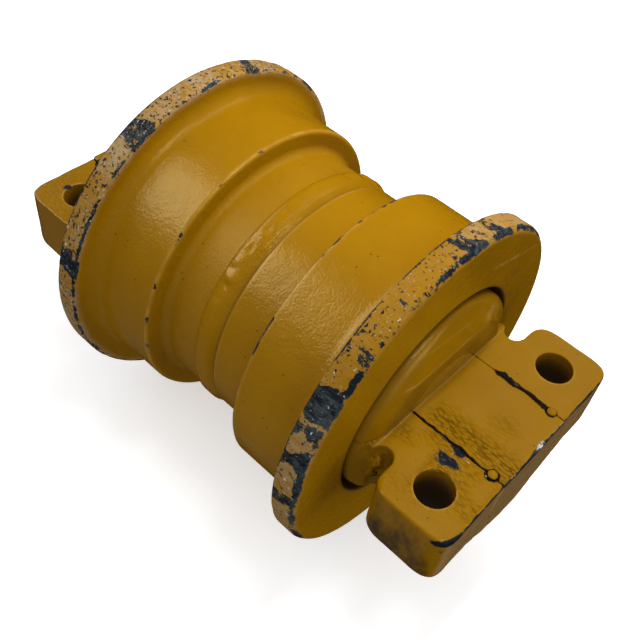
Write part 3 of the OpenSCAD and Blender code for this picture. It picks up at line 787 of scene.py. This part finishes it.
# --- Materials ---
class Nodes:
    """Short names for building a node tree. Values are numbers, colours or sockets."""

    def __init__(self, name):
        self.material = bpy.data.materials.new(name)
        self.material.use_nodes = True
        self.tree = self.material.node_tree
        self.tree.nodes.clear()
        self.shader = self.add("ShaderNodeBsdfPrincipled")
        self.add("ShaderNodeOutputMaterial", {"Surface": self.shader.outputs[0]})
        self.place = self.add("ShaderNodeTexCoord").outputs["Object"]

    def add(self, kind, inputs=None, **settings):
        node = self.tree.nodes.new(kind)
        for key, value in settings.items():
            setattr(node, key, value)
        self.feed(node, inputs or {})
        return node

    def feed(self, node, inputs):
        """Sets inputs of a node, or links other nodes' sockets to them."""
        for key, value in inputs.items():
            if isinstance(value, bpy.types.NodeSocket):
                self.tree.links.new(value, node.inputs[key])
            elif node.inputs[key].type == "RGBA":
                node.inputs[key].default_value = (*value, 1.0)
            else:
                node.inputs[key].default_value = value

    def surface(self, **inputs):
        """Sets the shader's inputs; an underscore stands for a space in their names."""
        self.feed(self.shader, {key.replace("_", " "): value for key, value in inputs.items()})

    def attribute(self, name):
        node = self.add("ShaderNodeAttribute", attribute_type="GEOMETRY", attribute_name=name)
        return node.outputs["Fac"]

    def math(self, operation, a, b, clamp=False):
        node = self.add("ShaderNodeMath", {0: a, 1: b}, operation=operation, use_clamp=clamp)
        return node.outputs[0]

    def times(self, a, b, clamp=False):
        return self.math("MULTIPLY", a, b, clamp)

    def plus(self, a, b):
        return self.math("ADD", a, b)

    def minus(self, a, b):
        return self.math("SUBTRACT", a, b)

    def placed(self, stretch, shift=(0, 0, 0), turn=0.0):
        """The object's own coordinates, stretched, shifted and turned about Z."""
        inputs = {"Vector": self.place, "Scale": stretch, "Location": shift, "Rotation": (0, 0, turn)}
        return self.add("ShaderNodeMapping", inputs).outputs[0]

    def cells(self, size_mm, stretch=(1, 1, 1), turn=0.0):
        """Distance from the middle of Voronoi cells about size_mm across."""
        inputs = {"Vector": self.placed(stretch, turn=turn), "Scale": 1 / (size_mm * MM)}
        return self.add("ShaderNodeTexVoronoi", inputs, feature="F1").outputs["Distance"]

    def noise(self, size_mm, detail, rough, stretch=(1, 1, 1), offset=0.0, bend=0.0):
        """Cloudy noise from 0 to 1, with lumps about size_mm across."""
        place = self.placed(stretch, (offset, offset * 0.7, -offset))
        inputs = {"Vector": place, "Scale": 0.5 / (size_mm * MM), "Detail": detail}
        inputs.update({"Roughness": rough, "Distortion": bend})
        return self.add("ShaderNodeTexNoise", inputs).outputs["Fac"]

    def band(self, value, low, high):
        """0 below low, 1 above high."""
        inputs = {"Value": value, "From Min": low, "From Max": high}
        node = self.add("ShaderNodeMapRange", inputs, interpolation_type="SMOOTHSTEP")
        return node.outputs["Result"]

    def mix(self, share, a, b):
        """Colour mix, from a to b."""
        return self.add("ShaderNodeMix", {0: share, 6: a, 7: b}, data_type="RGBA").outputs[2]

    def bump(self, height, distance_mm, under=None):
        node = self.add("ShaderNodeBump", {"Height": height, "Distance": distance_mm * MM})
        if under is not None:
            self.feed(node, {"Normal": under})
        return node.outputs[0]


OCHRE = (0.300, 0.141, 0.0004)
OCHRE_DARK = (0.262, 0.121, 0.0005)
OCHRE_MOTTLE = (0.185, 0.080, 0.001)
PRIMER = (0.0060, 0.0100, 0.0180)
WORN_PRIMER = (0.044, 0.056, 0.060)
PAINT_EDGE = (0.36, 0.22, 0.075)
SCUFF = (0.36, 0.37, 0.38)
# light ochre for painted highlights along edges, fillets and wrinkle crests, and for worn light strips and
# scratches
HIGHLIGHT_AND_WORN_OCHRE = (0.47, 0.265, 0.055)
RUBBED = (0.330, 0.235, 0.125)
STEEL = (0.62, 0.63, 0.64)
# dark ochre for painted shade in wrinkle creases
CREASE_SHADE = (0.075, 0.031, 0.001)
PINHOLE = (0.06, 0.03, 0.004)
CRACK = (0.010, 0.007, 0.005)
# dark brown for painted shade in recesses, holes and undercuts, and for dirt smears
SHADE_AND_GRIME = (0.030, 0.014, 0.004)
# near-black brown for painted shade on the ears' sides and undersides, with grunge
SHADE_AND_SOOT = (0.018, 0.013, 0.009)
# greyish tan for painted sheen on the end faces, with dust
DUST_AND_SHEEN = (0.330, 0.210, 0.095)
GLOSS_TINT = (1.0, 0.97, 0.68)
PEEL_MM, BROAD_PEEL_MM = 0.8, 3.6
# Where wear plus noise reaches the lip the paint is thin; past the chip it is gone
LIP, CHIP = (1.67, 1.73), (1.735, 1.765)


def sagged(n, colour, height):
    """Paint that ran and wrinkled into scales, where the `wrinkle` attribute says, with painted shade in
    the creases and a painted highlight on the crests.
    """
    folds = n.attribute("wrinkle")
    scales = n.cells(1.8, (1.0, 0.48, 1.0), 0.35)
    height = n.plus(height, n.times(scales, n.times(folds, -2.0)))
    crease_shade = n.times(n.band(scales, 0.42, 0.70), folds)
    crest = n.times(n.band(scales, 0.28, 0.06), folds)
    # painted shade in the creases, painted highlight on the crests
    colour = n.mix(n.times(crease_shade, 0.62), colour, CREASE_SHADE)
    return n.mix(n.times(crest, 0.42), colour, HIGHLIGHT_AND_WORN_OCHRE), height


def pinholed(n, colour):
    """A scatter of pinholes in the paint."""
    hole = n.minus(1.0, n.band(n.cells(9), 0.05, 0.075))
    chosen = n.math("GREATER_THAN", n.noise(21, 1, 0.5, offset=5.0), 0.47)
    return n.mix(n.times(n.times(hole, chosen), 0.85), colour, PINHOLE)


def chipped(n, colour, rough, normal):
    """Rubbed paint, chips down to the primer, then scuffs, dots and bare steel."""
    wear, specks, rubbed = n.attribute("wear"), n.attribute("specks"), n.attribute("rubbed")
    blotch = n.noise(2.6, 9, 0.78, offset=11.0)
    streak = n.noise(1.7, 8, 0.74, stretch=(1.0, 0.26, 1.0), offset=13.0)
    grit = n.noise(1.4, 4, 0.7, offset=17.0)
    chalky = n.times(specks, n.band(streak, 0.32, 0.62))
    colour = n.mix(n.times(chalky, rubbed), colour, RUBBED)
    rough = n.plus(rough, n.times(n.attribute("matt"), 0.30))

    level = n.plus(wear, n.times(n.plus(blotch, streak), 1.25))
    chip = n.band(level, *CHIP)
    lip = n.times(n.band(level, *LIP), n.times(wear, 0.9, True))
    colour = n.mix(lip, colour, PAINT_EDGE)
    thin = n.band(n.plus(streak, n.times(rubbed, 0.14)), 0.52, 0.70)
    scuffed = n.band(n.plus(grit, n.times(streak, 0.30)), 0.84, 0.90)
    primer = n.mix(scuffed, n.mix(thin, PRIMER, WORN_PRIMER), SCUFF)
    colour = n.mix(chip, colour, primer)
    rough = n.plus(rough, n.times(chip, 0.14))
    normal = n.bump(n.minus(1.0, chip), 0.28, normal)

    dark = n.plus(n.times(specks, 0.22), n.noise(1.1, 3, 0.65, offset=19.0))
    pale = n.plus(n.times(specks, 0.18), n.noise(1.0, 3, 0.65, offset=23.0))
    colour = n.mix(n.band(dark, 0.82, 0.85), colour, PRIMER)
    colour = n.mix(n.band(pale, 0.84, 0.88), colour, SCUFF)
    bare = n.band(n.plus(n.attribute("bare"), n.times(grit, 2.2)), 1.80, 1.95)
    colour = n.mix(bare, colour, n.mix(n.band(blotch, 0.45, 0.6), SCUFF, STEEL))
    return colour, rough, normal


def painted(name, chips=True, peel=0.26, cracks=False, wrinkled=False, shade_soot_and_sheen=False,
            dull_rims=False, shade=1.0, rough_base=0.14):
    """Satin ochre enamel over steel, with the paint's own texture and its damage, and with shade,
    highlights and sheen painted into its colour.

    peel is how deep its orange peel is, in millimetres; shade darkens the ochre.
    """
    n = Nodes(name)
    fine = n.noise(4.5, 4, 0.6, offset=3.0)
    light, deep = (tuple(c * shade for c in tone) for tone in (OCHRE, OCHRE_DARK))
    colour = n.mix(n.band(n.noise(34, 3, 0.6), 0.34, 0.70), light, deep)
    colour = n.mix(n.times(n.band(fine, 0.50, 0.80), 0.16), colour, OCHRE_MOTTLE)
    # painted highlights along edges and fillets, with worn light strips and scratches, where the `edge`
    # attribute says
    colour = n.mix(n.times(n.attribute("edge"), 0.75), colour, HIGHLIGHT_AND_WORN_OCHRE)
    peel_noise = n.noise(PEEL_MM, 2.5, 0.5, offset=1.0, bend=0.35)
    broad = n.noise(BROAD_PEEL_MM, 2, 0.5, offset=2.0)
    height = n.plus(n.times(peel_noise, peel), n.times(broad, peel * 1.1))
    if wrinkled:
        colour, height = sagged(n, colour, height)
    normal = n.bump(height, 1.0)
    rough = n.plus(rough_base, n.times(fine, 0.14))
    colour = pinholed(n, colour)
    dull = n.attribute("matt") if dull_rims else None
    if shade_soot_and_sheen:
        # painted sheen with dust, lightening the end faces
        colour = n.mix(n.times(n.attribute("dust_and_sheen"), 0.65), colour, DUST_AND_SHEEN)
    if cracks:
        jag = n.noise(2.2, 5, 0.7, offset=7.0)
        dull = n.band(n.plus(n.attribute("crack"), n.times(jag, 1.25)), 1.16, 1.24)
        colour = n.mix(dull, colour, CRACK)
        rough = n.plus(rough, n.times(dull, 0.6))
        normal = n.bump(n.minus(1.0, dull), 0.5, normal)
    if chips:
        colour, rough, normal = chipped(n, colour, rough, normal)
    if shade_soot_and_sheen:
        # painted shade on the ears' sides and undersides, broken up by noise into grunge
        shade_and_soot = n.plus(n.attribute("shade_and_soot"), n.noise(5.5, 6, 0.7, stretch=(0.6, 1.0, 0.6), offset=29.0))
        colour = n.mix(n.times(n.band(shade_and_soot, 0.75, 1.25), 0.85), colour, SHADE_AND_SOOT)
    # painted shade in recesses, holes and the weld's undercut, with dirt smears on the near flange face
    colour = n.mix(n.attribute("shade_and_grime"), colour, SHADE_AND_GRIME)
    rough = n.plus(rough, n.times(n.attribute("shade_and_grime"), 0.6))
    n.surface(Base_Color=colour, Roughness=rough, Normal=normal, Specular_Tint=GLOSS_TINT)
    if dull is not None:
        n.surface(Specular_IOR_Level=n.minus(0.5, n.times(dull, 0.40)))
    return n.material


def plain_metal(name, colour, rough, brushed=True):
    """Turned or lapped metal for the parts inside and the oil plug."""
    n = Nodes(name)
    rings = n.noise(0.8, 3, 0.6, stretch=(0.15, 3.0, 0.15)) if brushed else n.noise(1.5, 3, 0.6)
    dark = tuple(c * 0.72 for c in colour)
    n.surface(
        Base_Color=n.mix(n.band(rings, 0.3, 0.7), dark, colour), Metallic=0.55,
        Roughness=n.plus(n.times(rings, 0.2), rough - 0.1), Normal=n.bump(rings, 0.02),
    )
    return n.material


def rubber(name):
    """Black seal rubber with a faint grain."""
    n = Nodes(name)
    grain = n.noise(0.9, 3, 0.6)
    n.surface(
        Base_Color=n.mix(grain, (0.012, 0.012, 0.013), (0.03, 0.03, 0.03)),
        Roughness=n.plus(n.times(grain, 0.2), 0.5), Normal=n.bump(grain, 0.03),
    )
    return n.material


# --- Assembly ---
def dress(obj, material, body, slot, *nodes):
    """Gives a piece its finish, hangs it under its body and hides the CAD nodes it stands for."""
    obj.data.materials.clear()
    obj.data.materials.append(material)
    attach(obj, body)
    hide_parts(*nodes)


shell_paint = painted("shell enamel", dull_rims=True)
weld_paint = painted("weld enamel", chips=False, rough_base=0.12)
collar_paint = painted("collar enamel", cracks=True, wrinkled=True, shade_soot_and_sheen=True, peel=0.20, shade=0.86)
shaft_paint = painted("shaft enamel", cracks=True, wrinkled=True, shade_soot_and_sheen=True, peel=0.20, shade=0.86)
pin_paint = painted("dowel enamel", chips=False, cracks=True, peel=0.06, shade=0.86)
bronze = plain_metal("turned bronze", (0.62, 0.40, 0.18), 0.30)
iron = plain_metal("lapped iron", (0.33, 0.34, 0.36), 0.25)
zinc = plain_metal("zinc plated steel", (0.46, 0.46, 0.47), 0.32, brushed=False)
copper = plain_metal("soft copper", (0.66, 0.33, 0.19), 0.35)
nitrile = rubber("black nitrile")

for side, end in ENDS.items():
    dress(build_shell(side), shell_paint, "roller", "shell_paint", f"{end}_shell_half")
    dress(build_collar(side), collar_paint, "axle", "collar_paint", f"{end}_collar")
    dress(build_pins(side), pin_paint, "axle", "pin_paint", f"{end}_dowel_pins")
dress(build_weld(), weld_paint, "roller", "weld_paint", "centre_weld")
dress(build_shaft(), shaft_paint, "axle", "shaft_paint", "shaft")

CARRIED = (
    (bronze, ("right_bushing", "left_bushing")),
    (iron, ("right_rotating_seal_ring", "left_rotating_seal_ring",
            "right_static_seal_ring", "left_static_seal_ring")),
    (nitrile, ("right_rotating_toric", "left_rotating_toric", "right_static_toric",
               "left_static_toric", "right_shaft_oring", "left_shaft_oring")),
    (zinc, ("oil_plug",)),
    (copper, ("plug_washer",)),
)
for material, names in CARRIED:
    for node_name in names:
        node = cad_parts[node_name]
        node.data.materials.clear()
        node.data.materials.append(material)


# --- Stage, light and camera ---
WHITE, WARM, AMBER = (1.0, 1.0, 1.0), (1.0, 0.96, 0.74), (1.0, 0.88, 0.50)
# name, place, point faced, size, power, tint and what the lamp makes: body light or reflections
LAMPS = (
    ("key", (0.30, -0.06, 0.64), (0, 0, 0), (0.8, 0.15), 5.3, WHITE, "body"),
    ("softbox", (-0.70, 1.07, 1.02), (0, 0, 0.05), (1.0, 1.05), 11.6, WARM, "reflection"),
    ("back strip", (-0.25, 1.70, 0.95), (0, 0, 0.05), (1.6, 0.6), 5.0, WHITE, "reflection"),
    ("overhead", (-0.15, -0.62, 1.10), (0, 0, 0.05), (0.5, 0.25), 2.2, AMBER, "reflection"),
    ("glow from the floor", (-0.8, 0.6, -1.1), (0, 0, 0), (1.6, 1.6), 0.45, WHITE, "reflection"),
    ("front fill", (0.15, -1.30, -0.08), (0, 0, 0), (0.6, 0.3), 2.6, WHITE, "body"),
)
LOW_SKY, HIGH_SKY, SKY_BLEND = 0.50, 0.79, 0.25
CAMERA_PLACE = (-0.3026, -0.2385, 0.4229)
CAMERA_HEADING, CAMERA_DOWN, CAMERA_ROLL = (math.radians(a) for a in (35.974, 48.742, 9.320))


def area_light(name, place, aim, size, power, tint, makes):
    """A soft lamp at a place, facing a point, with its width level."""
    data = bpy.data.lights.new(name, "AREA")
    data.color = tint
    data.shape, data.size, data.size_y = "RECTANGLE", size[0], size[1]
    data.energy = power
    lamp = bpy.data.objects.new(name, data)
    bpy.context.scene.collection.objects.link(lamp)
    z = np.array(place) - np.array(aim)
    z = z / np.linalg.norm(z)
    x = np.cross((0.0, 1.0, 0.0), z)
    x /= np.linalg.norm(x)
    y = np.cross(z, x)
    lamp.matrix_world = Matrix([[x[i], y[i], z[i], place[i]] for i in range(3)] + [[0, 0, 0, 1]])
    lamp.visible_diffuse = makes == "body"
    lamp.visible_glossy = makes == "reflection"


def build_floor():
    """A pale floor, wide enough to fill the view from any side."""
    half, low = 6.0, -FLANGE_R * MM
    corners = [(-half, -half, low), (half, -half, low), (half, half, low), (-half, half, low)]
    mesh = bpy.data.meshes.new("floor")
    mesh.from_pydata(corners, [], [(0, 1, 2, 3)])
    floor = bpy.data.objects.new("floor", mesh)
    bpy.context.scene.collection.objects.link(floor)
    n = Nodes("pale floor")
    n.surface(Base_Color=(0.90, 0.90, 0.90), Roughness=0.9, Specular_IOR_Level=0.1)
    n.surface(Emission_Color=(1, 1, 1), Emission_Strength=0.45)
    mesh.materials.append(n.material)
    floor.visible_diffuse = False
    floor.visible_glossy = False
    floor.visible_shadow = False


def build_world():
    """Even light from above and round about, weaker from below, as in a large pale room."""
    world = bpy.data.worlds.new("studio")
    bpy.context.scene.world = world
    world.use_nodes = True
    world.cycles_visibility.glossy = False
    tree = world.node_tree
    place = tree.nodes.new("ShaderNodeTexCoord")
    split = tree.nodes.new("ShaderNodeSeparateXYZ")
    ramp = tree.nodes.new("ShaderNodeMapRange")
    ramp.inputs["From Min"].default_value = -SKY_BLEND
    ramp.inputs["From Max"].default_value = SKY_BLEND
    ramp.inputs["To Min"].default_value = LOW_SKY
    ramp.inputs["To Max"].default_value = HIGH_SKY
    tree.links.new(place.outputs["Generated"], split.inputs[0])
    tree.links.new(split.outputs["Z"], ramp.inputs["Value"])
    tree.links.new(ramp.outputs["Result"], tree.nodes["Background"].inputs["Strength"])
    tree.nodes["Background"].inputs["Color"].default_value = (1, 1, 1, 1)


def build_camera():
    """A camera above the -X, -Y corner, rolled a little as a hand-held one is."""
    data = bpy.data.cameras.new("camera")
    data.sensor_width, data.lens = 36.0, 47.7
    data.shift_x, data.shift_y = -0.0053, -0.0081
    data.clip_start = 0.01
    camera = bpy.data.objects.new("camera", data)
    bpy.context.scene.collection.objects.link(camera)
    facing = Matrix.Rotation(CAMERA_HEADING - math.pi / 2, 4, "Z")
    facing = facing @ Matrix.Rotation(math.pi / 2 - CAMERA_DOWN, 4, "X")
    facing = facing @ Matrix.Rotation(CAMERA_ROLL, 4, "Z")
    camera.matrix_world = Matrix.Translation(CAMERA_PLACE) @ facing
    bpy.context.scene.camera = camera


build_floor()
for lamp in LAMPS:
    area_light(*lamp)
build_world()
bpy.context.scene.view_settings.view_transform = "Standard"
build_camera()
